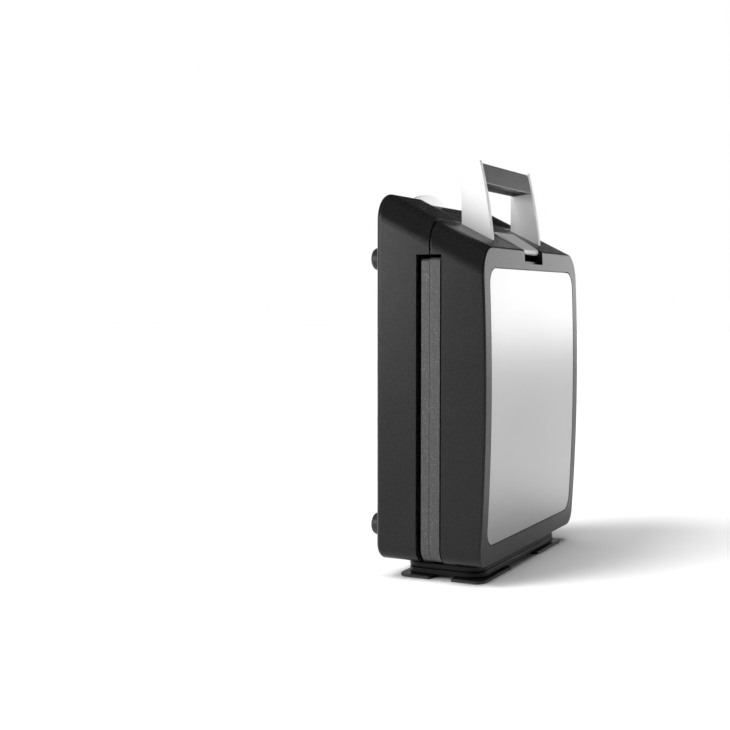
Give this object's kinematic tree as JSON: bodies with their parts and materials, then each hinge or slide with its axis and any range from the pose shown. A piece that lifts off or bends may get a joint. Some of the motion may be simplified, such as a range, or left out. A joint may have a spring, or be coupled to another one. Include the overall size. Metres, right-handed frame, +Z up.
{
  "type": "waffle maker",
  "caption": "Closed upright double waffle maker with a hinged lid, sprung latch, two-plate carry handle and mains flex wound round its foot.",
  "frame": {"origin": "on the surface it stands on, under the middle of the object without its cord", "axes": "+Z up as it stands for storage, +X across the width, +Y from the lid towards the base's feet"},
  "size_m": [0.2584, 0.1525, 0.3618],
  "materials": {
    "housing": "fine matte texture",
    "front_panel": "satin",
    "handle_metal": "satin",
    "grip_plastic": "matte",
    "latch_steel": "satin",
    "plate_coating": "speckled non-stick coating",
    "heater_steel": "heat-dulled",
    "ceramic": "glazed",
    "shield_sheet": "mill",
    "zinc_steel": "zinc",
    "spring_steel": "satin",
    "foot_rubber": "satin",
    "wrap_plastic": "matte",
    "flex_sheath": "satin",
    "plug_moulding": "satin",
    "pin_metal": "plated",
    "lens_plastic": "gloss",
    "wire_silicone": "matte",
    "fibre_sleeve": "woven",
    "terminal_plastic": "matte",
    "circuit_board": "gloss",
    "trim_metal": "satin"
  },
  "bodies": {
    "base": {"base_shell": "housing", "base_cover": "housing", "base_cover_screws": "zinc_steel", "base_feet": "foot_rubber", "base_foot_screws": "zinc_steel", "base_plate": "plate_coating", "base_heater": "heater_steel", "base_heater_ends": "ceramic", "base_heat_shield": "shield_sheet", "base_plate_screws": "zinc_steel", "base_thermostat": "zinc_steel", "base_thermal_fuse": "fibre_sleeve", "base_terminal_block": "terminal_plastic", "base_wiring": "wire_silicone", "base_lamp_board": "circuit_board", "base_indicator_lens": "lens_plastic", "base_cord_clamp": "terminal_plastic", "base_latch_catch": "zinc_steel", "base_lift_lip": "trim_metal", "base_wrap": "wrap_plastic", "base_wrap_screws": "zinc_steel", "hinge_pins": "zinc_steel", "hinge_sleeve": "fibre_sleeve", "cord_gland": "flex_sheath", "cord_winding": "flex_sheath", "cord_tail": "flex_sheath", "plug_body": "plug_moulding", "plug_pins": "pin_metal"},
    "lid": {"lid_shell": "housing", "lid_latch_well": "housing", "lid_panel": "front_panel", "lid_plate": "plate_coating", "lid_heater": "heater_steel", "lid_heater_ends": "ceramic", "lid_heat_shield": "shield_sheet", "lid_plate_screws": "zinc_steel", "lid_thermal_fuse": "fibre_sleeve", "lid_wiring": "wire_silicone", "lid_wrap": "wrap_plastic", "lid_wrap_screws": "zinc_steel", "handle_plate_left": "handle_metal", "handle_plate_right": "handle_metal", "handle_grip": "grip_plastic", "handle_screws": "zinc_steel", "latch_pin": "zinc_steel", "latch_spring": "spring_steel"},
    "latch": {"latch_lever": "latch_steel"}
  },
  "joints": [
    {"name": "lid_hinge", "type": "hinge", "parent": "base", "child": "lid", "pos_m": [0, -0.0045, 0.01], "axis": [1, 0, 0], "range_deg": [0, 95], "deforming": ["cord_winding", "cord_tail"]},
    {"name": "latch_pivot", "type": "hinge", "parent": "lid", "child": "latch", "pos_m": [0, -0.0245, 0.2925], "axis": [1, 0, 0], "range_deg": [0, 9], "stiffness_Nm_per_rad": 0.2, "springref_deg": -17.19}
  ]
}
